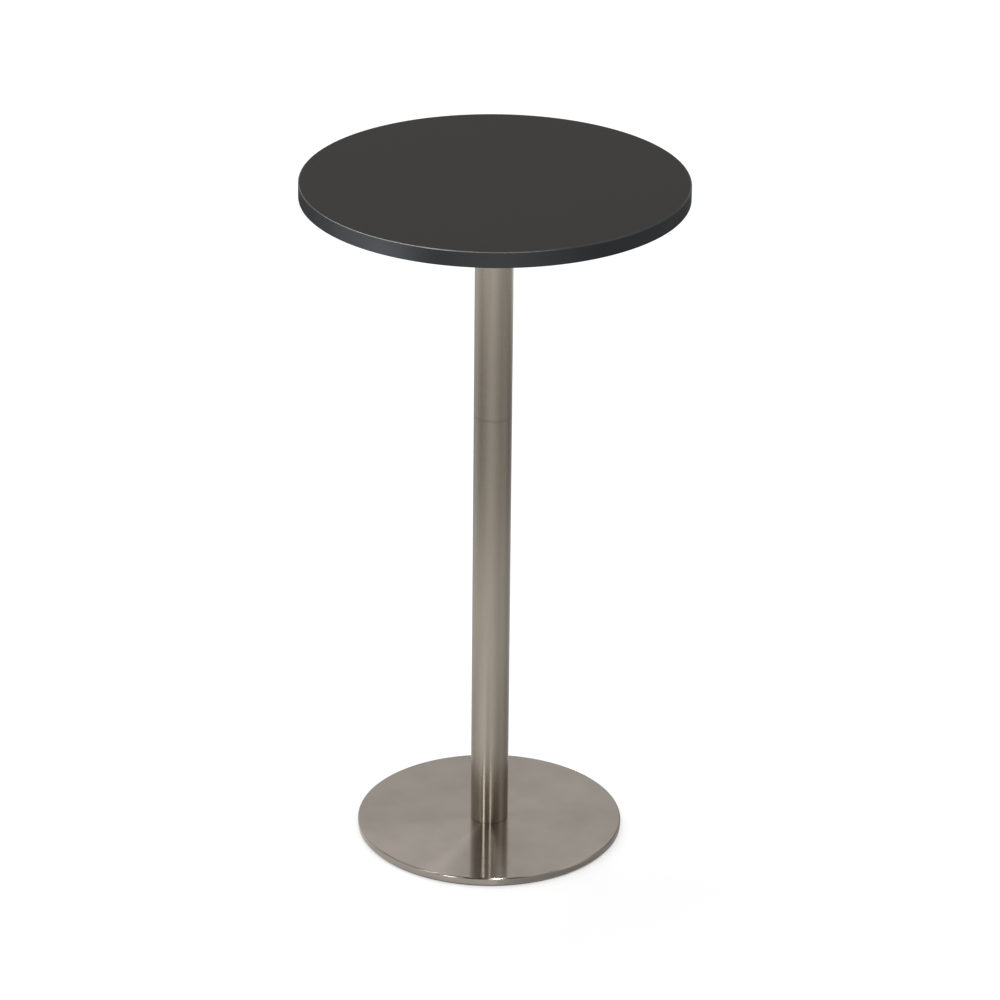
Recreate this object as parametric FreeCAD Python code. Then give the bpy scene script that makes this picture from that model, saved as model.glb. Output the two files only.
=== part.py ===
import FreeCAD, Part
import math
import os

# Bar-height pedestal table: a round laminate top on a four-armed steel spider, one stainless
# tube clamped by a tie rod, and a weighted disc base on four screw-in levelling feet.
# Millimetres, +Z up, origin on the floor under the middle of the column.

# Overall sizes
table_height = 1110.0
top_diameter = 600.0
top_thickness = 25.0
column_diameter = 60.0
column_wall = 1.5
base_diameter = 425.0
base_thickness = 12.0
floor_gap = 3.0

# Fits shared by several pieces
locating_clearance = 0.2
thread_clearance = 0.05
bolt_clearance = 0.5
glue_line = 0.1
cut_overrun = 1.0

# Table top
laminate_thickness = 0.8
edge_band_thickness = 2.0
edge_upper_radius_share = 0.9
edge_lower_radius_share = 0.5

# Spider: a pressed cross with tapered channel arms, and the drawn cup welded under its hub
spider_sheet = 3.0
spider_reach = 155.0
spider_tip_width = 36.0
spider_tip_radius = 14.0
spider_hollow_radius = 20.0
spider_bend_radius = 5.0
spider_hub_depth = 24.0
spider_tip_depth = 9.0
spider_arms = 4
cup_sheet = 3.0
cup_depth = 26.0
cup_bend_radius = 5.0
cup_flange_margin = 6.0

# Wood screws that hold the top on the spider arms
screw_diameter = 5.0
screw_length = 20.0
screw_head_diameter = 10.0
screw_head_height = 3.2
screw_head_radius_share = 0.6
screw_point_share = 0.25
screw_place_shares = (0.60, 0.86)

# Tie rod through the column, with its nuts and washers
rod_diameter = 12.0
rod_end_chamfer = 1.2
rod_proud = 3.0
rod_lower_inset = 0.5
nut_sides = 6
nut_across_flats = 19.0
nut_face_share = 0.94
top_nut_hex_height = 8.0
top_nut_collar_height = 4.0
top_nut_collar_share = 0.80
top_nut_collar_radius = 1.2
base_nut_height = 10.0
washer_thickness = 2.5
top_washer_diameter = 37.0
base_washer_diameter = 30.0
spring_washer_diameter = 21.0
spring_washer_thickness = 3.0
spring_washer_split = 2.0

# Base: spun cover crimped round a steel ballast plate, and the spigot that centres the column
cover_sheet = 1.0
rim_bend_radius = 3.0
lip_bend_radius = 2.2
lip_width = 9.0
ballast_clearance = 0.5
spigot_height = 10.0
spigot_chamfer = 1.5

# Levelling feet
foot_count = 4
foot_first_angle = 45.0
foot_rim_margin = 32.5
foot_pocket_depth = 2.5
foot_pocket_margin = 2.0
foot_stop_clearance = 0.3
foot_pad_diameter = 30.0
foot_pad_sole = 2.2
foot_pad_lip = 0.7
foot_pad_edge_radius = 1.2
foot_head_diameter = 18.0
foot_head_grip = 1.0
foot_head_play = 0.3
foot_thread_diameter = 8.0
foot_thread_chamfer = 0.8
foot_top_clearance = 0.6

# Heights and radii that follow from the sizes above
full_turn = 360.0
axis_up = FreeCAD.Vector(0, 0, 1)
top_radius = top_diameter / 2
board_radius = top_radius - edge_band_thickness - glue_line
column_radius = column_diameter / 2
column_bore_radius = column_radius - column_wall
locating_radius = column_bore_radius - locating_clearance
base_radius = base_diameter / 2
base_top = floor_gap + base_thickness
ballast_bottom = floor_gap + cover_sheet
ballast_top = base_top - cover_sheet
top_underside = table_height - top_thickness
board_bottom = top_underside + laminate_thickness
board_top = table_height - laminate_thickness
web_bottom = top_underside - spider_sheet
spider_hub_radius = column_radius + spider_hollow_radius
column_top = web_bottom - cup_sheet
cup_bottom = column_top - cup_depth
cup_floor = cup_bottom + cup_sheet
cup_bore_radius = locating_radius - cup_sheet
rod_radius = rod_diameter / 2
rod_hole_radius = rod_radius + bolt_clearance
rod_thread_hole_radius = rod_radius + thread_clearance
top_nut_seat = cup_floor + washer_thickness
top_nut_top = top_nut_seat + top_nut_hex_height + top_nut_collar_height
base_washer_seat = base_top + spigot_height
spring_washer_seat = base_washer_seat + washer_thickness
base_nut_seat = spring_washer_seat + spring_washer_thickness
foot_pocket_roof = ballast_bottom + foot_pocket_depth
foot_pad_height = foot_pocket_roof - foot_stop_clearance
foot_pocket_radius = foot_pad_diameter / 2 + foot_pocket_margin
foot_head_radius = foot_head_diameter / 2
foot_head_top = foot_pad_height - foot_pad_lip - foot_head_play
foot_thread_radius = foot_thread_diameter / 2
foot_hole_radius = foot_thread_radius + thread_clearance


def rounded_wire(corners, place):
    """Closed wire through corners (a, b, radius); a radius above zero rounds that corner with an arc."""
    points = [place(a, b) for a, b, radius in corners]
    edges = []
    bends = []
    for i, corner in enumerate(corners):
        point = points[i]
        radius = corner[2]
        back = (points[i - 1] - point).normalize()
        ahead = (points[(i + 1) % len(points)] - point).normalize()
        half_angle = back.getAngle(ahead) / 2
        run = radius / math.tan(half_angle)
        inward = (back + ahead).normalize() if radius > 0 else back
        crown = point + inward * (radius / math.sin(half_angle) - radius)
        bends.append((point + back * run, crown, point + ahead * run))
    for i, (start, crown, end) in enumerate(bends):
        last_end = bends[i - 1][2]
        if not last_end.isEqual(start, FreeCAD.Base.Precision.confusion()):
            edges.append(Part.LineSegment(last_end, start).toShape())
        if corners[i][2] > 0:
            edges.append(Part.Arc(start, crown, end).toShape())
    return Part.Wire(edges)


def turned(corners):
    """Solid of revolution about the column axis from a profile of (radius, height, corner radius)."""
    profile = rounded_wire(corners, lambda r, z: FreeCAD.Vector(r, 0, z))
    return Part.Face(profile).revolve(FreeCAD.Vector(0, 0, 0), axis_up, full_turn)


def ring(inner_radius, outer_radius, bottom, top):
    return turned([(inner_radius, bottom, 0), (outer_radius, bottom, 0),
                   (outer_radius, top, 0), (inner_radius, top, 0)])


def drill(x, y, radius, bottom, top):
    return Part.makeCylinder(radius, top - bottom, FreeCAD.Vector(x, y, bottom), axis_up)


def round_places(count, radius, first_angle):
    """Evenly spaced places on a circle about the column axis."""
    angles = [math.radians(first_angle + full_turn * i / count) for i in range(count)]
    return [(radius * math.cos(angle), radius * math.sin(angle)) for angle in angles]


def screw_places():
    return [place for share in screw_place_shares
            for place in round_places(spider_arms, share * spider_reach, 0)]


def foot_places():
    return round_places(foot_count, base_radius - foot_rim_margin, foot_first_angle)


def top_face_laminate():
    return ring(0, board_radius, board_top, table_height)


def top_core_board():
    """Particle board core with a blind pilot hole for each screw."""
    board = ring(0, board_radius, board_bottom, board_top)
    pilot_top = web_bottom + screw_length + cut_overrun
    pilot_radius = screw_diameter / 2 + thread_clearance
    for x, y in screw_places():
        board = board.cut(drill(x, y, pilot_radius, board_bottom - cut_overrun, pilot_top))
    return board


def top_backing_laminate():
    sheet = ring(0, board_radius, top_underside, board_bottom)
    hole_radius = screw_diameter / 2 + thread_clearance
    for x, y in screw_places():
        sheet = sheet.cut(drill(x, y, hole_radius, top_underside - cut_overrun, board_bottom + cut_overrun))
    return sheet


def top_edge_band():
    """Thick plastic edging, trimmed flush with both laminates and rounded over."""
    inner = top_radius - edge_band_thickness
    return turned([(inner, top_underside, 0),
                   (top_radius, top_underside, edge_lower_radius_share * edge_band_thickness),
                   (top_radius, table_height, edge_upper_radius_share * edge_band_thickness),
                   (inner, table_height, 0)])


def spider_outline(height):
    """Plan of the cross: square-set arms that taper to rounded tips, with hollows between them."""
    tip_half = spider_tip_width / 2
    arm = [(spider_reach, -tip_half, spider_tip_radius),
           (spider_reach, tip_half, spider_tip_radius),
           (column_radius, column_radius, spider_hollow_radius)]
    corners = []
    for i in range(spider_arms):
        turn = math.radians(full_turn * i / spider_arms)
        for x, y, radius in arm:
            corners.append((x * math.cos(turn) - y * math.sin(turn),
                            x * math.sin(turn) + y * math.cos(turn), radius))
    return rounded_wire(corners, lambda x, y: FreeCAD.Vector(x, y, height))


def bent_over(solid, radius):
    """Rounds the edges of the solid's upper face, as a sheet bends over a press tool."""
    upper = max(solid.Faces, key=lambda face: face.CenterOfMass.z)
    return solid.makeFillet(radius, upper.Edges)


def spider_bracket():
    """Pressed cross: a flat web with a turned-down skirt that is deep at the hub and shallow at the tips."""
    outline = spider_outline(top_underside)
    blank = bent_over(Part.Face(outline).extrude(-axis_up * spider_hub_depth), spider_bend_radius)
    tip_corner = math.hypot(spider_reach, spider_tip_width / 2)
    hub_bottom = top_underside - spider_hub_depth
    envelope = turned([(0, hub_bottom, 0), (spider_hub_radius, hub_bottom, 0),
                       (tip_corner, top_underside - spider_tip_depth, 0),
                       (tip_corner, top_underside, 0), (0, top_underside, 0)])
    inside = spider_outline(web_bottom).makeOffset2D(-spider_sheet)
    hollow = Part.Face(inside).extrude(-axis_up * (spider_hub_depth + cut_overrun))
    hollow = bent_over(hollow, spider_bend_radius - spider_sheet)
    bracket = blank.common(envelope).cut(hollow)
    bracket = bracket.cut(drill(0, 0, cup_bore_radius, web_bottom - cut_overrun, top_underside + cut_overrun))
    hole_radius = screw_diameter / 2 + bolt_clearance
    for x, y in screw_places():
        bracket = bracket.cut(drill(x, y, hole_radius, web_bottom - cut_overrun, top_underside + cut_overrun))
    return bracket


def spider_cup():
    """Drawn cup: its flange sits on the tube's end, its body centres the tube, its floor takes the rod."""
    flange_radius = column_radius + cup_flange_margin
    inner_bend = cup_bend_radius - cup_sheet
    return turned([(rod_hole_radius, cup_bottom, 0), (locating_radius, cup_bottom, cup_bend_radius),
                   (locating_radius, column_top, 0), (flange_radius, column_top, 0),
                   (flange_radius, web_bottom, 0), (cup_bore_radius, web_bottom, 0),
                   (cup_bore_radius, cup_floor, inner_bend), (rod_hole_radius, cup_floor, 0)])


def top_screws():
    """Pan-head wood screws driven up through the spider arms."""
    seat = web_bottom
    shank_radius = screw_diameter / 2
    tip = seat + screw_length
    head_radius = screw_head_diameter / 2
    head_bottom = seat - screw_head_height
    screw = turned([(0, head_bottom, 0),
                    (head_radius, head_bottom, screw_head_radius_share * screw_head_height),
                    (head_radius, seat, 0), (shank_radius, seat, 0),
                    (shank_radius, tip - screw_point_share * screw_length, 0), (0, tip, 0)])
    return Part.makeCompound([screw.translated(FreeCAD.Vector(x, y, 0)) for x, y in screw_places()])


def column_tube():
    return ring(column_bore_radius, column_radius, base_top, column_top)


def tie_rod():
    """Screwed rod from the tapped ballast plate up to the nut in the cup."""
    low = ballast_bottom + rod_lower_inset
    high = top_nut_top + rod_proud
    end_radius = rod_radius - rod_end_chamfer
    return turned([(0, low, 0), (end_radius, low, 0), (rod_radius, low + rod_end_chamfer, 0),
                   (rod_radius, high - rod_end_chamfer, 0), (end_radius, high, 0), (0, high, 0)])


def hexagon_nut(bottom, height):
    """Hexagon with both faces chamfered, bored for the rod."""
    flat_radius = nut_across_flats / 2
    half_side_angle = math.pi / nut_sides
    corner_radius = flat_radius / math.cos(half_side_angle)
    face_radius = nut_face_share * flat_radius
    chamfer = (corner_radius - face_radius) * math.tan(half_side_angle)
    top = bottom + height
    points = [FreeCAD.Vector(x, y, bottom) for x, y in round_places(nut_sides, corner_radius, 0)]
    prism = Part.Face(Part.makePolygon(points + points[:1])).extrude(axis_up * height)
    barrel = turned([(rod_thread_hole_radius, bottom, 0), (face_radius, bottom, 0),
                     (corner_radius, bottom + chamfer, 0), (corner_radius, top - chamfer, 0),
                     (face_radius, top, 0), (rod_thread_hole_radius, top, 0)])
    return prism.common(barrel)


def rod_top_nut():
    """Self-locking nut: a hexagon with a round collar that grips the rod."""
    collar_bottom = top_nut_seat + top_nut_hex_height
    collar_radius = top_nut_collar_share * nut_across_flats / 2
    collar = turned([(rod_thread_hole_radius, collar_bottom, 0), (collar_radius, collar_bottom, 0),
                     (collar_radius, top_nut_top, top_nut_collar_radius),
                     (rod_thread_hole_radius, top_nut_top, 0)])
    return hexagon_nut(top_nut_seat, top_nut_hex_height).fuse(collar).removeSplitter()


def rod_top_washer():
    return ring(rod_hole_radius, top_washer_diameter / 2, cup_floor, top_nut_seat)


def rod_base_nut():
    return hexagon_nut(base_nut_seat, base_nut_height)


def rod_base_washer():
    return ring(rod_hole_radius, base_washer_diameter / 2, base_washer_seat, spring_washer_seat)


def rod_spring_washer():
    """Split washer, pressed flat under the nut."""
    outer = spring_washer_diameter / 2
    washer = ring(rod_hole_radius, outer, spring_washer_seat, base_nut_seat)
    split_height = spring_washer_thickness + 2 * cut_overrun
    corner = FreeCAD.Vector(0, -spring_washer_split / 2, spring_washer_seat - cut_overrun)
    return washer.cut(Part.makeBox(outer + cut_overrun, spring_washer_split, split_height, corner))


def base_spigot():
    """Turned disc that centres the tube's foot and is clamped down by the rod's lower nut."""
    high = base_washer_seat
    return turned([(rod_hole_radius, base_top, 0), (locating_radius, base_top, 0),
                   (locating_radius, high - spigot_chamfer, 0), (locating_radius - spigot_chamfer, high, 0),
                   (rod_hole_radius, high, 0)])


def base_cover():
    """Spun stainless cover: flat face, rounded rim, and a lip crimped under the ballast plate."""
    lip_inner = base_radius - lip_width
    wall_inner = base_radius - cover_sheet
    return turned([(rod_hole_radius, base_top, 0), (rod_hole_radius, ballast_top, 0),
                   (wall_inner, ballast_top, rim_bend_radius - cover_sheet),
                   (wall_inner, ballast_bottom, lip_bend_radius - cover_sheet),
                   (lip_inner, ballast_bottom, 0), (lip_inner, floor_gap, 0),
                   (base_radius, floor_gap, lip_bend_radius),
                   (base_radius, base_top, rim_bend_radius)])


def base_ballast_plate():
    """Steel plate with a tapped centre, and a tapped hole in a shallow pocket for each foot."""
    radius = base_radius - cover_sheet - ballast_clearance
    plate = turned([(rod_thread_hole_radius, ballast_bottom, 0),
                    (radius, ballast_bottom, lip_bend_radius - cover_sheet),
                    (radius, ballast_top, rim_bend_radius - cover_sheet),
                    (rod_thread_hole_radius, ballast_top, 0)])
    for x, y in foot_places():
        plate = plate.cut(drill(x, y, foot_pocket_radius, ballast_bottom - cut_overrun, foot_pocket_roof))
        plate = plate.cut(drill(x, y, foot_hole_radius, ballast_bottom, ballast_top + cut_overrun))
    return plate


def foot_pad():
    """Moulded foot with a socket whose lip snaps over the stud's head."""
    radius = foot_pad_diameter / 2
    socket = foot_head_radius + thread_clearance
    mouth = foot_head_radius - foot_head_grip
    lip_bottom = foot_pad_height - foot_pad_lip
    return turned([(0, 0, 0), (radius, 0, foot_pad_edge_radius),
                   (radius, foot_pad_height, foot_pad_edge_radius), (mouth, foot_pad_height, 0),
                   (mouth, lip_bottom, 0), (socket, lip_bottom, 0),
                   (socket, foot_pad_sole, 0), (0, foot_pad_sole, 0)])


def foot_stud():
    """Screwed stud with a flat round head that turns in the pad."""
    high = ballast_top - foot_top_clearance
    return turned([(0, foot_pad_sole, 0), (foot_head_radius, foot_pad_sole, 0),
                   (foot_head_radius, foot_head_top, 0), (foot_thread_radius, foot_head_top, 0),
                   (foot_thread_radius, high - foot_thread_chamfer, 0),
                   (foot_thread_radius - foot_thread_chamfer, high, 0), (0, high, 0)])


pieces = {
    "top_face_laminate": top_face_laminate(),
    "top_core_board": top_core_board(),
    "top_backing_laminate": top_backing_laminate(),
    "top_edge_band": top_edge_band(),
    "top_screws": top_screws(),
    "spider_bracket": spider_bracket(),
    "spider_cup": spider_cup(),
    "column_tube": column_tube(),
    "tie_rod": tie_rod(),
    "rod_top_nut": rod_top_nut(),
    "rod_top_washer": rod_top_washer(),
    "rod_base_nut": rod_base_nut(),
    "rod_spring_washer": rod_spring_washer(),
    "rod_base_washer": rod_base_washer(),
    "base_spigot": base_spigot(),
    "base_cover": base_cover(),
    "base_ballast_plate": base_ballast_plate(),
}
for number, (x, y) in enumerate(foot_places(), start=1):
    place = FreeCAD.Vector(x, y, 0)
    pieces[f"foot_pad_{number}"] = foot_pad().translated(place)
    pieces[f"foot_stud_{number}"] = foot_stud().translated(place)

os.makedirs("parts", exist_ok=True)
for name, shape in pieces.items():
    shape.exportStep(f"parts/{name}.step")
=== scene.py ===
import math

import bmesh
import bpy
from mathutils import Matrix, Vector


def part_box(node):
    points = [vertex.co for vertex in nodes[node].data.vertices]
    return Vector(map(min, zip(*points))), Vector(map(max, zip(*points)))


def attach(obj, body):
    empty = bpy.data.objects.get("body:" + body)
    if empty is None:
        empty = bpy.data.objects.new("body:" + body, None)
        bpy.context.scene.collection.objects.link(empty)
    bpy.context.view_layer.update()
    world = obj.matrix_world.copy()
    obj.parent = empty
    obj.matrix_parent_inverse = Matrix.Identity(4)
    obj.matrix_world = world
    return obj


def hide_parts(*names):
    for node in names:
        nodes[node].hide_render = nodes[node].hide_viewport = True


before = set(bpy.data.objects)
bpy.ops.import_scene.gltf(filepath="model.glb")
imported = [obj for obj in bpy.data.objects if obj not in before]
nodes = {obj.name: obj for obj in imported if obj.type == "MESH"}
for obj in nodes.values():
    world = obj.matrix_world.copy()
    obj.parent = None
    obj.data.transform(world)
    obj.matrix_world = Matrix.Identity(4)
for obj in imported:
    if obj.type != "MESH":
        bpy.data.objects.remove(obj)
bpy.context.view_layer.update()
scene = bpy.context.scene

# Ballast plate of the base: a flame-cut steel disc that keeps the tall table upright.
# It is dipped in matt black primer and lies inside the stainless cover, where only its underside shows.
primer_black = (0.022, 0.022, 0.024)
primer_dusty = (0.040, 0.040, 0.042)


def new_finish(name, colour, roughness, **shader_values):
    """Starts a finish whose shader holds these even values on its own sockets."""
    finish = bpy.data.materials.new(name)
    finish.use_nodes = True
    shader = finish.node_tree.nodes["Principled BSDF"]
    shader.inputs["Base Color"].default_value = (*colour, 1)
    shader.inputs["Roughness"].default_value = roughness
    for socket, value in shader_values.items():
        shader.inputs[socket.replace("_", " ")].default_value = value
    return finish


def add(finish, kind, inputs=None, **settings):
    """Adds one node to a finish. Inputs are plain values, or the nodes and sockets that feed them."""
    node = finish.node_tree.nodes.new("ShaderNode" + kind)
    for setting, value in settings.items():
        setattr(node, setting, value)
    for socket, value in (inputs or {}).items():
        feed(finish, value, node.inputs[socket])
    return node


def feed(finish, source, socket):
    """Wires a node or socket into a socket, or sets the socket to a plain value."""
    if isinstance(source, bpy.types.Node):
        source = source.outputs[0]
    if isinstance(source, bpy.types.NodeSocket):
        finish.node_tree.links.new(source, socket)
    else:
        socket.default_value = source


def drive(finish, **sources):
    """Feeds the finish's shader, one socket for each name."""
    shader = finish.node_tree.nodes["Principled BSDF"]
    for socket, source in sources.items():
        feed(finish, source, shader.inputs[socket.replace("_", " ")])


def place_on(finish, stretch=(1, 1, 1)):
    """Place on the piece in metres, stretched by these factors."""
    place = add(finish, "TexCoord").outputs["Object"]
    return add(finish, "VectorMath", {0: place, 1: stretch}, operation="MULTIPLY")


def speckle(finish, place, per_metre, detail=4.0):
    """Even cloud of values about one half, with this many cells to the metre."""
    return add(finish, "TexNoise", {"Vector": place, "Scale": per_metre, "Detail": detail})


def tint(finish, share, low, high, start=0.3, end=0.7):
    """Colour that runs from low to high as the share runs from start to end."""
    ramp = add(finish, "ValToRGB", {"Fac": share})
    first, last = ramp.color_ramp.elements
    first.position, last.position = start, end
    first.color, last.color = (*low, 1), (*high, 1)
    return ramp


def spread(finish, share, low, high, start=0.3, end=0.7):
    """Number that runs from low to high as the share runs from start to end."""
    return add(finish, "MapRange", {"Value": share, "From Min": start, "From Max": end,
                                    "To Min": low, "To Max": high})


def relief(finish, height, depth):
    """Surface relief of this depth in metres."""
    return add(finish, "Bump", {"Height": height, "Distance": depth, "Strength": 1.0})


def dress(finish, *names):
    """Gives CAD nodes their finish."""
    for name in names:
        slots = nodes[name].data.materials
        slots.clear()
        slots.append(finish)


def grain(finish, low, high, smooth, rough, per_metre, depth, relief_per_metre=None, stretch=(1, 1, 1),
          detail=4.0):
    """Lets one cloud move a finish's colour and roughness; its relief follows that cloud or a finer one."""
    cloud = speckle(finish, place_on(finish, stretch), per_metre, detail)
    fine = cloud
    if relief_per_metre:
        fine = speckle(finish, place_on(finish, stretch), relief_per_metre, detail)
    drive(finish, Base_Color=tint(finish, cloud, low, high), Roughness=spread(finish, cloud, smooth, rough),
          Normal=relief(finish, fine, depth))


primer = new_finish("black_primer", primer_black, roughness=0.7)
grain(primer, primer_black, primer_dusty, smooth=0.62, rough=0.8, per_metre=40, depth=0.0001,
      relief_per_metre=900)
dress(primer, "base_ballast_plate")

# Cover of the base: one disc of 1 mm stainless sheet, spun over the plate and crimped under its edge.
# It is polished on the lathe with a fine abrasive, so the marks run in rings about the middle
# and each lamp draws out into a fan.
cover_light = (0.352, 0.314, 0.273)
cover_dull = (0.308, 0.277, 0.245)
cover_roughness = 0.15
cover_roughness_swing = 0.012
cover_grain_pull = 1.0
cover_sheet = 0.001
cover_rim_bend = 0.003
cover_lip_bend = 0.0022
cover_lip_width = 0.009
cover_hole_radius = 0.0065
flat_margin = 0.0005
fine_steps = 256


def stainless(name, colour, roughness, grain_pull):
    """Satin stainless with polishing marks that run about the upright axis."""
    across_the_marks = 0.25
    steel = new_finish(name, colour, roughness, Metallic=1.0, Anisotropic=grain_pull,
                       Anisotropic_Rotation=across_the_marks)
    around = add(steel, "Tangent", direction_type="RADIAL", axis="Z")
    drive(steel, Tangent=around)
    return steel


def round_corners(corners, bend_steps=12):
    """Profile through square corners of (radius, height, bend); each bend is rounded with an arc."""
    profile = []
    for i, (radius, height, bend) in enumerate(corners):
        corner = Vector((radius, height))
        back = (Vector(corners[i - 1][:2]) - corner).normalized()
        ahead = (Vector(corners[(i + 1) % len(corners)][:2]) - corner).normalized()
        centre = corner + (back + ahead) * bend
        turns = [math.pi / 2 * k / bend_steps for k in range(bend_steps + 1)] if bend else [0]
        profile += [centre - (ahead * math.cos(a) + back * math.sin(a)) * bend for a in turns]
    return profile


def turn_profile(shape, profile, steps=48, closed=False):
    """Turns a profile of (radius, height) about the upright axis; a radius of zero closes to a point."""
    angles = [2 * math.pi * i / steps for i in range(steps)]
    rings = []
    for radius, height in profile:
        if radius == 0:
            rings.append([shape.verts.new((0, 0, height))] * steps)
        else:
            rings.append([shape.verts.new((radius * math.cos(a), radius * math.sin(a), height))
                          for a in angles])
    for lower, upper in zip(rings, rings[1:] + rings[:1] if closed else rings[1:]):
        for i in range(steps):
            j = (i + 1) % steps
            shape.faces.new(dict.fromkeys((lower[i], lower[j], upper[j], upper[i])))


def make_piece(name, shape, finish, slot, body, *replaced):
    """Turns a shape into a piece that rides on a body, and stands for these CAD nodes."""
    crease = math.radians(35)
    bmesh.ops.recalc_face_normals(shape, faces=shape.faces)
    for face in shape.faces:
        face.smooth = True
    mesh = bpy.data.meshes.new(name)
    shape.to_mesh(mesh)
    shape.free()
    mesh.set_sharp_from_angle(angle=crease)
    mesh.materials.append(finish)
    piece = bpy.data.objects.new(name, mesh)
    scene.collection.objects.link(piece)
    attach(piece, body)
    if replaced:
        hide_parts(*replaced)
    return piece


cover_steel = stainless("spun_stainless", cover_light, cover_roughness, cover_grain_pull)
flat_place = place_on(cover_steel, (1, 1, 0))
from_middle = add(cover_steel, "VectorMath", {0: flat_place}, operation="LENGTH").outputs["Value"]
rings = speckle(cover_steel, add(cover_steel, "CombineXYZ", {"X": from_middle}), per_metre=1400, detail=2)
smudges = speckle(cover_steel, flat_place, per_metre=16, detail=6)
drive(cover_steel, Base_Color=tint(cover_steel, smudges, cover_dull, cover_light, start=0.25, end=0.6),
      Roughness=spread(cover_steel, rings, cover_roughness - cover_roughness_swing,
                       cover_roughness + cover_roughness_swing))

low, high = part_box("base_cover")
rim_radius, lip_bottom, cover_top = high[0], low[2], high[2]
wall_inside = rim_radius - cover_sheet
lip_inside = rim_radius - cover_lip_width
cover = bmesh.new()
turn_profile(cover, round_corners([
    (cover_hole_radius, cover_top - cover_sheet, 0),
    (wall_inside, cover_top - cover_sheet, cover_rim_bend - cover_sheet),
    (wall_inside, lip_bottom + cover_sheet, cover_lip_bend - cover_sheet),
    (lip_inside, lip_bottom + cover_sheet, 0),
    (lip_inside, lip_bottom, 0),
    (rim_radius - cover_lip_bend - flat_margin, lip_bottom, 0),
    (rim_radius, lip_bottom, cover_lip_bend),
    (rim_radius, lip_bottom + cover_lip_bend + flat_margin, 0),
    (rim_radius, cover_top - cover_rim_bend - flat_margin, 0),
    (rim_radius, cover_top, cover_rim_bend),
    (rim_radius - cover_rim_bend - flat_margin, cover_top, 0),
    (cover_hole_radius, cover_top, 0)]), steps=fine_steps, closed=True)
spun_cover = make_piece("spun_cover", cover, cover_steel, "satin_stainless", "table", "base_cover")

# Pads of the levelling feet: moulded black nylon with a lightly sparked mould texture.
# Each pad snaps over the flat head of its stud and stays still on the floor while the stud turns.
nylon_deep = (0.016, 0.016, 0.016)
nylon_worn = (0.028, 0.028, 0.028)
nylon = new_finish("black_nylon", nylon_deep, roughness=0.5)
grain(nylon, nylon_deep, nylon_worn, smooth=0.42, rough=0.58, per_metre=2500, depth=0.00005)
feet = range(1, 5)
dress(nylon, *[f"foot_pad_{n}" for n in feet])

# Studs of the levelling feet: zinc-plated steel, a flat round head with a rolled M8 thread above it.
# Each is screwed up into the ballast plate, so a turn of the stud raises or lowers that foot.
zinc_bright = (0.60, 0.60, 0.57)
zinc_grey = (0.46, 0.46, 0.45)
stud_pitch = 0.00125
stud_thread_depth = 0.00075
stud_head_radius = 0.009
stud_head_height = 0.003
stud_edge = 0.0004
stud_radius = 0.004
bar_steps = 24


def roll_thread(shape, radius, depth, pitch, low, high, chamfer):
    """Adds a bar with a thread rolled round it, closed and chamfered at both ends.

    One pitch is shared out between a flat root, a flank, a flat crest and the second flank.
    """
    root_share, crest_share = 0.25, 0.125
    flank_share = (1 - root_share - crest_share) / 2
    root = radius - depth
    profile = ((0.0, root), (root_share, root), (root_share + flank_share, radius),
               (1 - flank_share, radius), (1.0, root))
    tolerance = pitch / 1000
    count = math.ceil((high - low) / pitch + 2) * bar_steps
    bar = bmesh.new()
    columns = []
    for i in range(count + 1):
        angle = 2 * math.pi * i / bar_steps
        start = low - pitch + pitch * i / bar_steps
        columns.append([bar.verts.new((r * math.cos(angle), r * math.sin(angle), start + share * pitch))
                        for share, r in profile])
    for left, right in zip(columns, columns[1:]):
        for j in range(len(profile) - 1):
            bar.faces.new((left[j], right[j], right[j + 1], left[j + 1]))
    bmesh.ops.remove_doubles(bar, verts=bar.verts, dist=tolerance)
    for end, outward in ((low, -1), (high, 1)):
        bmesh.ops.bisect_plane(bar, geom=bar.verts[:] + bar.edges[:] + bar.faces[:], dist=tolerance,
                               plane_co=(0, 0, end), plane_no=(0, 0, outward), clear_outer=True)
    bmesh.ops.holes_fill(bar, edges=[edge for edge in bar.edges if edge.is_boundary])
    for vert in bar.verts:
        from_axis = math.hypot(vert.co.x, vert.co.y)
        allowed = radius - max(0, chamfer - min(vert.co.z - low, high - vert.co.z))
        if from_axis > allowed:
            vert.co.xy *= allowed / from_axis
    join(shape, bar)


def join(shape, other, place=None):
    """Adds a second shape to the first, moved to its place."""
    mesh = bpy.data.meshes.new("joined")
    bmesh.ops.transform(other, matrix=place or Matrix(), verts=other.verts)
    other.to_mesh(mesh)
    shape.from_mesh(mesh)
    bpy.data.meshes.remove(mesh)


zinc = new_finish("zinc_plate", zinc_bright, roughness=0.35, Metallic=1.0)
grain(zinc, zinc_grey, zinc_bright, smooth=0.28, rough=0.45, per_metre=300, depth=0.000004,
      relief_per_metre=4000)

for n in feet:
    low, high = (Vector(corner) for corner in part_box(f"foot_stud_{n}"))
    middle = (low + high) / 2
    head_top = low.z + stud_head_height
    stud = bmesh.new()
    turn_profile(stud, [
        (0, low.z),
        (stud_head_radius - stud_edge, low.z),
        (stud_head_radius, low.z + stud_edge),
        (stud_head_radius, head_top - stud_edge),
        (stud_head_radius - stud_edge, head_top),
        (0, head_top)])
    roll_thread(stud, stud_radius, stud_thread_depth, stud_pitch, head_top - stud_edge, high.z,
                chamfer=stud_thread_depth)
    bmesh.ops.translate(stud, vec=(middle.x, middle.y, 0), verts=stud.verts)
    make_piece(f"foot_screw_thread_{n}", stud, zinc, "zinc_plate", f"foot_screw_{n}", f"foot_stud_{n}")

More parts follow.
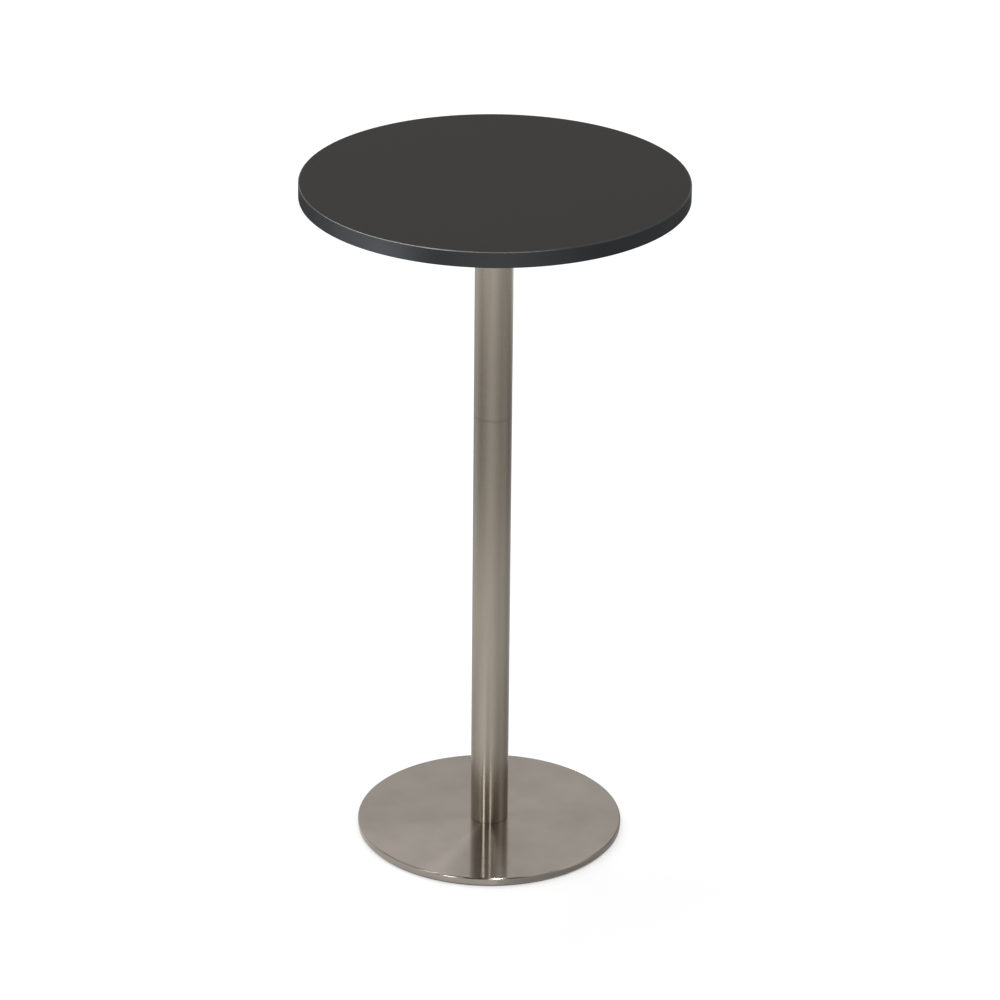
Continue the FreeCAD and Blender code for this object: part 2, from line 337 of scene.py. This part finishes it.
# Tie rod: a zinc-plated M12 bar with rolled threads at both ends. Its foot is screwed into the plate,
# and a washer, a spring washer and a nut lock it there, over the turned spigot that centres the tube.
rod_radius = 0.006
rod_shank_radius = 0.0054
rod_neck_radius = 0.0044
rod_pitch = 0.00175
rod_thread_depth = 0.00107
rod_chamfer = 0.0012
rod_thread_length = 0.045

low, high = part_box("tie_rod")
lower_run_out = low[2] + rod_thread_length
upper_run_out = high[2] - rod_thread_length
rod = bmesh.new()
roll_thread(rod, rod_radius, rod_thread_depth, rod_pitch, low[2], lower_run_out, rod_chamfer)
turn_profile(rod, [
    (0, lower_run_out - rod_chamfer),
    (rod_neck_radius, lower_run_out - rod_chamfer),
    (rod_shank_radius, lower_run_out + rod_chamfer),
    (rod_shank_radius, upper_run_out - rod_chamfer),
    (rod_neck_radius, upper_run_out + rod_chamfer),
    (0, upper_run_out + rod_chamfer)], steps=bar_steps)
roll_thread(rod, rod_radius, rod_thread_depth, rod_pitch, upper_run_out, high[2], rod_chamfer)
make_piece("tie_rod_thread", rod, zinc, "zinc_plate", "table", "tie_rod")
dress(zinc, "base_spigot", "rod_base_washer", "rod_spring_washer", "rod_base_nut")

# Column: a length of 60 mm stainless tube, cut square and stood over the spigot.
# It is belt-polished round its girth, so its marks run level and reflections draw out up and down.
# A faint brown line runs round it where two passes of the belt meet, and its cut foot is darkened as painted
# shade where it stands on the cover.
tube_light = (0.354, 0.316, 0.264)
tube_dull = (0.330, 0.293, 0.245)
tube_roughness = 0.21
tube_roughness_swing = 0.02
tube_grain_pull = 0.89
level_marks_stretch = (4, 4, 900)
long_patches_stretch = (30, 30, 5)
pass_line_height = 0.7217
pass_line_half_width = 0.0020
pass_line_loss = (0.06, 0.13, 0.12)
# Painted shade: the lowest part of the tube is darkened where it meets the cover.
foot_shade_width = 0.0012
foot_shade_loss = (0.30, 0.30, 0.30)


def reckon(finish, operation, *values):
    """One step of reckoning with plain values, nodes or sockets."""
    return add(finish, "Math", dict(enumerate(values)), operation=operation)


tube_steel = stainless("tube_stainless", tube_light, tube_roughness, tube_grain_pull)
level_marks = speckle(tube_steel, place_on(tube_steel, level_marks_stretch), per_metre=1, detail=3)
long_patches = speckle(tube_steel, place_on(tube_steel, long_patches_stretch), per_metre=1)
height_on_tube = add(tube_steel, "SeparateXYZ", {0: place_on(tube_steel)}).outputs["Z"]
tube_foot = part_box("column_tube")[0][2]
tube_colour = tint(tube_steel, long_patches, tube_dull, tube_light)
# Each band darkens the colour: the pass line is a real mark, the foot band is painted shade.
for line_height, half_width, loss in ((pass_line_height, pass_line_half_width, pass_line_loss),
                                      (tube_foot, foot_shade_width, foot_shade_loss)):
    on_line = reckon(tube_steel, "COMPARE", height_on_tube, line_height, half_width)
    band_darkening = add(tube_steel, "VectorMath", {0: on_line, 1: [-share for share in loss], 2: (1, 1, 1)},
                  operation="MULTIPLY_ADD")
    tube_colour = add(tube_steel, "VectorMath", {0: tube_colour, 1: band_darkening}, operation="MULTIPLY")
drive(tube_steel, Base_Color=tube_colour,
      Roughness=spread(tube_steel, level_marks, tube_roughness - tube_roughness_swing,
                       tube_roughness + tube_roughness_swing))
dress(tube_steel, "column_tube")

# Spider: the pressed steel cross under the top, and the drawn cup welded to it with one ring of bead.
# All of it is powder coated black after welding, which leaves a fine orange-peel skin.
powder_black = (0.015, 0.015, 0.015)
powder_rubbed = (0.022, 0.022, 0.022)
weld_width = 0.0028
weld_ripples = 66
weld_ripple_share = 0.10
weld_ripple_steps = 6
weld_round_steps = 6

powder = new_finish("black_powder_coat", powder_black, roughness=0.45)
grain(powder, powder_black, powder_rubbed, smooth=0.38, rough=0.5, per_metre=700, depth=0.0001, detail=1)
dress(powder, "spider_bracket", "spider_cup")

flange_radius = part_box("spider_cup")[1][0]
web_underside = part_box("spider_cup")[1][2]
bead_profile = [(flange_radius, web_underside)]
for i in range(weld_round_steps + 1):
    angle = math.radians(90 * i / weld_round_steps)
    bead_profile.append((flange_radius + weld_width * math.cos(angle),
                         web_underside - weld_width * math.sin(angle)))
bead = bmesh.new()
turn_profile(bead, bead_profile, steps=weld_ripples * weld_ripple_steps, closed=True)
for vert in bead.verts:
    swell = 1 + weld_ripple_share * math.cos(weld_ripples * math.atan2(vert.co.y, vert.co.x))
    flat = vert.co.xy.normalized()
    vert.co.xy = flat * (flange_radius + (vert.co.xy.length - flange_radius) * swell)
    vert.co.z = web_underside + (vert.co.z - web_underside) * swell
make_piece("spider_weld", bead, powder, "black_powder_coat", "table")

# Nut and washer in the cup: the self-locking nut pulls the rod up and the tube tight between cup and base.
# They are zinc plated like the rod and go on last, before the top covers them.
dress(zinc, "rod_top_washer", "rod_top_nut")

# Core of the top: a round of particle board, pressed from glued wood chips and sawn to size.
# Laminate and edging hide it; blind pilot holes take the screws.
chip_dark = (0.30, 0.20, 0.11)
chip_pale = (0.52, 0.38, 0.24)
chip_stretch = (1, 1, 3)
board = new_finish("particle_board", chip_pale, roughness=0.8)
grain(board, chip_dark, chip_pale, smooth=0.72, rough=0.9, per_metre=350, depth=0.0002, stretch=chip_stretch)
dress(board, "top_core_board")

# Faces of the top: charcoal laminate above, glued and trimmed flush, and a plain balancing sheet below.
# The upper sheet has a fine matt texture that hides finger marks.
laminate_low = (0.044, 0.0426, 0.0402)
laminate_high = (0.048, 0.0465, 0.0439)
laminate = new_finish("charcoal_laminate", laminate_high, roughness=0.6, Specular_IOR_Level=0.03)
grain(laminate, laminate_low, laminate_high, smooth=0.56, rough=0.64, per_metre=1200, depth=0.00003)
dress(laminate, "top_face_laminate")

backing_low = (0.034, 0.034, 0.034)
backing_high = (0.045, 0.045, 0.045)
backing = new_finish("backing_laminate", backing_high, roughness=0.7)
grain(backing, backing_low, backing_high, smooth=0.62, rough=0.78, per_metre=900, depth=0.00004)
dress(backing, "top_backing_laminate")

# Edging of the top: a 2 mm strip of charcoal plastic, glued round the board and rounded at both corners.
# Its two ends meet in one fine butt joint at the back.
edging_low = (0.026, 0.0265, 0.0285)
edging_high = (0.031, 0.032, 0.0345)
edging_joint = (0.012, 0.012, 0.013)
edging_joint_half_width = 0.00025
edging_thickness = 0.002
edging_upper_round = 0.0018
edging_lower_round = 0.001
drawn_lines_stretch = (12, 12, 1400)

edging = new_finish("charcoal_edging", edging_high, roughness=0.2, Specular_IOR_Level=0.35)
drawn_lines = speckle(edging, place_on(edging, drawn_lines_stretch), per_metre=1)
edging_place = add(edging, "SeparateXYZ", {0: place_on(edging)}).outputs
near_middle = reckon(edging, "COMPARE", edging_place["X"], 0.0, edging_joint_half_width)
at_back = reckon(edging, "GREATER_THAN", edging_place["Y"], 0.0)
in_joint = reckon(edging, "MULTIPLY", near_middle, at_back)
edging_colour = add(edging, "MixRGB", {"Fac": in_joint, "Color2": (*edging_joint, 1),
                                       "Color1": tint(edging, drawn_lines, edging_low, edging_high)})
drive(edging, Base_Color=edging_colour, Roughness=spread(edging, drawn_lines, low=0.17, high=0.23))

low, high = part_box("top_edge_band")
edging_radius, edging_bottom, edging_top = high[0], low[2], high[2]
edging_inside = edging_radius - edging_thickness
band = bmesh.new()
turn_profile(band, round_corners([
    (edging_inside, edging_bottom, 0),
    (edging_radius, edging_bottom, edging_lower_round),
    (edging_radius, edging_bottom + edging_lower_round + flat_margin, 0),
    (edging_radius, edging_top - edging_upper_round - flat_margin, 0),
    (edging_radius, edging_top, edging_upper_round),
    (edging_inside, edging_top, 0)]), steps=fine_steps, closed=True)
edging_strip = make_piece("top_edging", band, edging, "charcoal_edging", "table", "top_edge_band")

# Screws of the top: eight zinc-plated wood screws with pan heads and cross recesses.
# They go up through the spider's arms into the board, two to an arm, each stopped at its own angle.
screw_length = 0.020
screw_radius = 0.0025
screw_shank_radius = 0.0021
screw_thread_depth = 0.0008
screw_pitch = 0.0020
screw_plain_length = 0.0030
screw_point_length = 0.0050
screw_tip_share = 0.06
screw_head_radius = 0.0050
screw_head_height = 0.0032
screw_crown_height = 0.00192
screw_crown_steps = 5
screw_flat_radius = 0.0030
recess_reach = 0.0024
recess_half_width = 0.00055
recess_depth = 0.0018
recess_taper = 0.55
screw_turn_step = math.radians(37)
spider_reach = 0.155
screw_shares = (0.60, 0.86)
screw_places = [(share * spider_reach, turn * math.pi / 2) for share in screw_shares for turn in range(4)]


def pan_head(shape):
    """Adds a pan head that faces down from its seat at height zero, with a tapered cross recess."""
    crown = [(screw_flat_radius, -screw_head_height)]
    for i in range(1, screw_crown_steps + 1):
        angle = math.radians(90 * i / screw_crown_steps)
        crown.append((screw_flat_radius + (screw_head_radius - screw_flat_radius) * math.sin(angle),
                      -screw_head_height + screw_crown_height * (1 - math.cos(angle))))
    head = bmesh.new()
    turn_profile(head, crown + [(screw_head_radius, 0), (0, 0)])
    arm, half = recess_reach, recess_half_width
    cross = [Vector((arm, half, 0)), Vector((half, half, 0)), Vector((half, arm, 0))]
    outline = [Matrix.Rotation(turn * math.pi / 2, 3, "Z") @ point for turn in range(4) for point in cross]
    face_height = Vector((0, 0, -screw_head_height))
    mouth = [head.verts.new(point + face_height) for point in outline]
    recess_floor = face_height + Vector((0, 0, recess_depth))
    floor = [head.verts.new(point * recess_taper + recess_floor) for point in outline]
    rim = [edge for edge in head.edges if edge.is_boundary]
    mouth_edges = [head.edges.new((mouth[i - 1], mouth[i])) for i in range(len(mouth))]
    bmesh.ops.triangle_fill(head, edges=rim + mouth_edges, use_beauty=True)
    for i in range(len(mouth)):
        head.faces.new((mouth[i - 1], mouth[i], floor[i], floor[i - 1]))
    head.faces.new(floor)
    join(shape, head)


def wood_screw():
    """One screw that stands on its seat at height zero, head down."""
    screw = bmesh.new()
    shank_start = -screw_head_height / 4
    turn_profile(screw, [
        (0, shank_start),
        (screw_shank_radius, shank_start),
        (screw_shank_radius, screw_plain_length),
        (0, screw_plain_length)], steps=bar_steps)
    thread = bmesh.new()
    roll_thread(thread, screw_radius, screw_thread_depth, screw_pitch, screw_plain_length, screw_length,
                chamfer=0)
    for vert in thread.verts:
        above = (screw_length - vert.co.z) / screw_point_length
        vert.co.xy *= min(1, max(screw_tip_share, above))
    join(screw, thread)
    pan_head(screw)
    return screw


screws = bmesh.new()
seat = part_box("spider_cup")[1][2]
for number, (reach, turn) in enumerate(screw_places):
    place = Matrix.Translation((reach * math.cos(turn), reach * math.sin(turn), seat))
    join(screws, wood_screw(), place @ Matrix.Rotation(number * screw_turn_step, 4, "Z"))
make_piece("top_wood_screws", screws, zinc, "zinc_plate", "table", "top_screws")

# Studio: a pale floor with a lit panel under the base, a white surround and a soft box behind on the left.
# Curtains, strips and floor cloths, which only polished surfaces show, give the steel its bands.
# Some cards and lamps are kept for the cover or the edging, and the soft box is kept off the cover.
scene.view_settings.view_transform = "Standard"


def stage_mesh(name, points, faces, finish):
    """Adds a thing that belongs to the studio and not to the table."""
    mesh = bpy.data.meshes.new(name)
    mesh.from_pydata(points, [], faces)
    mesh.materials.append(finish)
    piece = bpy.data.objects.new(name, mesh)
    scene.collection.objects.link(piece)
    return piece


floor_half = 14.0
floor_height = -0.0001
floor_paint_share = 0.80
floor_glow_seen = 0.47
floor_glow_reflected = 0.32
contact_inset = 0.004
panel_radius = 0.204
panel_glow = 0.8

floor_paint = bpy.data.materials.new("floor_paint")
floor_paint.use_nodes = True
floor_paint.node_tree.nodes.clear()
path = add(floor_paint, "LightPath").outputs
reflected = reckon(floor_paint, "MAXIMUM", path["Is Glossy Ray"], path["Is Transmission Ray"])
reflected_glow = reckon(floor_paint, "MULTIPLY", reflected, floor_glow_reflected)
ray_glow = reckon(floor_paint, "MULTIPLY_ADD", path["Is Camera Ray"], floor_glow_seen, reflected_glow)
floor_spot = add(floor_paint, "NewGeometry").outputs
floor_place = add(floor_paint, "VectorMath", {0: floor_spot["Position"], 1: (1, 1, 0)}, operation="MULTIPLY")
floor_reach = add(floor_paint, "VectorMath", {0: floor_place}, operation="LENGTH").outputs["Value"]
# The glow stops just inside the rim's edge and the panel starts further in, so a thin ring of floor in the
# gap under the rim is darker: painted shade.
clear_of_base = reckon(floor_paint, "GREATER_THAN", floor_reach, rim_radius - contact_inset)
open_glow = reckon(floor_paint, "MULTIPLY", ray_glow, clear_of_base)
in_panel = reckon(floor_paint, "LESS_THAN", floor_reach, panel_radius)
glow_strength = reckon(floor_paint, "MULTIPLY_ADD", in_panel, panel_glow, open_glow)
paint = add(floor_paint, "BsdfDiffuse", {"Color": (*[floor_paint_share] * 3, 1)})
glow = add(floor_paint, "Emission", {"Color": (1, 1, 1, 1), "Strength": glow_strength})
lit_paint = add(floor_paint, "AddShader", {0: paint, 1: glow})
open_air = add(floor_paint, "BsdfTransparent")
surface = add(floor_paint, "MixShader", {0: floor_spot["Backfacing"], 1: lit_paint, 2: open_air})
add(floor_paint, "OutputMaterial", {"Surface": surface})
floor_corners = [(-1, -1), (1, -1), (1, 1), (-1, 1)]
floor_points = [(x * floor_half, y * floor_half, floor_height) for x, y in floor_corners]
stage_mesh("floor", floor_points, [(0, 1, 2, 3)], floor_paint)

surround_light = 0.70
world = bpy.data.worlds.new("white_surround")
scene.world = world
world.use_nodes = True
world.node_tree.nodes.clear()
path = add(world, "LightPath").outputs
seen = reckon(world, "MAXIMUM", path["Is Camera Ray"], path["Is Glossy Ray"])
seen = reckon(world, "MAXIMUM", seen, path["Is Transmission Ray"])
surround = add(world, "MapRange", {"Value": seen, "To Min": surround_light, "To Max": 1.0})
backdrop = add(world, "Background", {"Color": (1, 1, 1, 1), "Strength": surround})
add(world, "OutputWorld", {"Surface": backdrop})


def card_finish(name, colour):
    """Even card whose brightness is written on its points."""
    card = bpy.data.materials.new(name)
    card.use_nodes = True
    card.node_tree.nodes.clear()
    level = add(card, "Attribute", attribute_name="level").outputs["Fac"]
    light = add(card, "Emission", {"Color": (*colour, 1), "Strength": level})
    add(card, "OutputMaterial", {"Surface": light})
    return card


cloth = card_finish("studio_cloth", (1, 1, 1))
cool_strip = card_finish("cool_strip", (0.88, 0.95, 1.0))


def link_light(source, piece, state="INCLUDE"):
    """Keeps a card or lamp for one piece, or keeps it off that piece, as a barn door would."""
    lit = bpy.data.collections.new(source.name + "_lights")
    lit.objects.link(piece)
    lit.collection_objects[0].light_linking.link_state = state
    source.light_linking.receiver_collection = lit


def hang(name, lower, upper, levels, finish=cloth, only_on=None):
    """Curved card between two circles about the object, each given as (radius, height).

    The levels are pairs of azimuth and brightness; azimuth 0 is the camera's side and +90 the right.
    A card that is meant for one piece is linked to that piece only.
    """
    bend_degrees = 3
    bends = []
    for (start, start_level), (end, end_level) in zip(levels, levels[1:]):
        count = max(1, round((end - start) / bend_degrees))
        bends += [(start + (end - start) * i / count, start_level + (end_level - start_level) * i / count)
                  for i in range(count)]
    bends.append(levels[-1])
    points = []
    for azimuth, level in bends:
        angle = math.radians(azimuth)
        points += [(radius * math.sin(angle), -radius * math.cos(angle), z) for radius, z in (lower, upper)]
    faces = [(2 * i, 2 * i + 2, 2 * i + 3, 2 * i + 1) for i in range(len(bends) - 1)]
    card = stage_mesh(name, points, faces, finish)
    brightness = card.data.attributes.new("level", "FLOAT", "POINT")
    for i, (azimuth, level) in enumerate(bends):
        brightness.data[2 * i].value = brightness.data[2 * i + 1].value = level
    card.visible_camera = False
    card.visible_diffuse = False
    card.visible_shadow = False
    if only_on:
        link_light(card, only_on)


cloth_height = 0.001
hang("front_curtain", (9.0, 0.3), (9.0, 9.0),
     [(-150, 0.9), (-116, 0.8), (-95, 0.7), (-75, 0.72), (-55, 0.66), (-42, 0.5), (-11, 0.55), (4, 0.45),
      (30, 0.33), (52, 0.32), (76, 0.95), (95, 0.6), (115, 0.4)])
hang("back_wall", (9.0, 0.0), (9.0, 9.0), [(115, 0.4), (155, 0.5), (168, 0.8), (210, 0.8)])
hang("left_back_card", (8.7, 5.2), (8.7, 7.8), [(-178, 0.9), (-174, 1.35), (-160, 1.35)],
     only_on=spun_cover)
hang("right_back_card", (8.7, 5.2), (8.7, 7.8), [(160, 1.0), (176, 1.0)], only_on=spun_cover)
hang("left_strip", (8.8, 3.4), (8.8, 7.2), [(-40, 10), (-30, 10)], cool_strip)
hang("front_strip", (8.8, 3.4), (8.8, 7.2), [(1, 5.2), (11, 5.2)], cool_strip)
hang("edge_strip", (0.5, 3.3), (4.0, 3.3),
     [(-140, 4), (-125, 9), (-112, 11), (-100, 11), (-85, 11), (-70, 12), (-45, 14), (-25, 9.5), (0, 5.2),
      (25, 7), (36, 7), (40, 0)], only_on=edging_strip)
hang("edge_curtain", (0.5, 0.92), (0.5, 1.065),
     [(-180, 0.3), (-150, 0.1), (-115, 0.1), (-100, 0.2), (-84, 0.45), (-73, 1.0), (-61, 1.6), (-50, 2.3),
      (-40, 2.1), (-30, 1.1), (-23, 0.7), (-5, 1.1), (8, 1.1), (28, 0.55), (45, 0.22), (67, 0.2), (92, 0.17),
      (105, 0.1), (130, 0.1), (150, 0.2), (180, 0.3)], cool_strip)
hang("rim_cloth", (0.214, cloth_height), (0.25, cloth_height),
     [(4, 0.7), (16, 0.5), (40, 0.4), (62, 0.46), (110, 0.45), (160, 0.9)])
hang("near_cloth", (0.25, cloth_height), (0.55, cloth_height),
     [(-180, 0.5), (-150, 0.62), (-116, 0.66), (-74, 1.0), (-41, 1.25), (-28, 1.15), (-11, 0.85), (4, 0.95),
      (17, 0.86), (47, 0.55), (81, 0.53), (116, 0.36), (150, 0.5), (180, 0.5)])
hang("middle_cloth", (0.55, cloth_height), (1.25, cloth_height),
     [(-180, 0.5), (-150, 0.65), (-116, 0.88), (-74, 1.0), (-41, 1.06), (-11, 1.1), (17, 1.02), (47, 0.86),
      (81, 0.74), (116, 0.52), (150, 0.6), (180, 0.5)])
hang("dark_cloth", (1.25, cloth_height), (2.3, cloth_height),
     [(-180, 0.5), (-150, 0.5), (-116, 0.6), (-74, 0.06), (-41, 0.04), (-11, 0.28), (17, 0.18), (47, 0.12),
      (81, 0.28), (116, 0.18), (150, 0.4), (180, 0.5)])
hang("far_cloth", (2.3, cloth_height), (6.0, cloth_height),
     [(-180, 0.6), (-150, 0.7), (-116, 1.15), (-74, 1.1), (-41, 1.32), (-11, 1.5), (17, 1.34), (47, 1.08),
      (81, 0.82), (116, 0.85), (150, 1.3), (180, 0.6)])

column_middle = Vector((0, 0, 0.8))
base_front_left = Vector((-0.10, -0.21, 0.0))
lamp_reach = 3.2
narrow_beam = math.radians(8)


def hang_lamp(name, azimuth, elevation, size, power, aim=column_middle):
    """Flat lamp of this width and height, hung at these degrees round and above the column's middle."""
    lamp_data = bpy.data.lights.new(name, "AREA")
    lamp_data.shape = "RECTANGLE"
    lamp_data.size, lamp_data.size_y = size
    lamp_data.energy = power
    lamp = bpy.data.objects.new(name, lamp_data)
    scene.collection.objects.link(lamp)
    flat = math.cos(math.radians(elevation))
    turn = math.radians(azimuth)
    outward = Vector((flat * math.sin(turn), -flat * math.cos(turn), math.sin(math.radians(elevation))))
    lamp.location = column_middle + lamp_reach * outward
    lamp.rotation_euler = (lamp.location - aim).to_track_quat("Z", "Y").to_euler()
    lamp.visible_camera = False
    return lamp


softbox = hang_lamp("softbox", azimuth=-140, elevation=64, size=(0.6, 0.6), power=20)
link_light(softbox, spun_cover, "EXCLUDE")
left_gleam = hang_lamp("left_gleam", azimuth=-127, elevation=62.5, size=(0.4, 0.4), power=0.15,
                       aim=base_front_left)
left_gleam.data.spread = narrow_beam
cover_lamps = [
    left_gleam,
    hang_lamp("rim_glow", azimuth=-82, elevation=46, size=(2.4, 2.4), power=14),
    hang_lamp("rim_gleam", azimuth=-60, elevation=36, size=(0.7, 1.6), power=8),
    hang_lamp("near_gleam", azimuth=-31, elevation=38, size=(0.4, 1.4), power=4),
    hang_lamp("front_gleam", azimuth=18, elevation=73, size=(0.1, 0.1), power=190),
]
for lamp in cover_lamps:
    link_light(lamp, spun_cover)

# Camera: a long lens that looks down on the table from the front, as the photographer stood.
# It has no shift and no blur.
camera_place = Vector((0.0, -6.648, 3.600))
camera_pan, camera_tilt, camera_roll = -0.107, 65.537, 0.576
lens_mm, sensor_mm = 167.44, 36.0
camera_data = bpy.data.cameras.new("camera")
camera_data.lens, camera_data.sensor_width = lens_mm, sensor_mm
camera = bpy.data.objects.new("camera", camera_data)
scene.collection.objects.link(camera)
camera.matrix_world = (Matrix.Translation(camera_place) @ Matrix.Rotation(math.radians(camera_pan), 4, "Z")
                       @ Matrix.Rotation(math.radians(camera_tilt), 4, "X")
                       @ Matrix.Rotation(math.radians(camera_roll), 4, "Z"))
scene.camera = camera
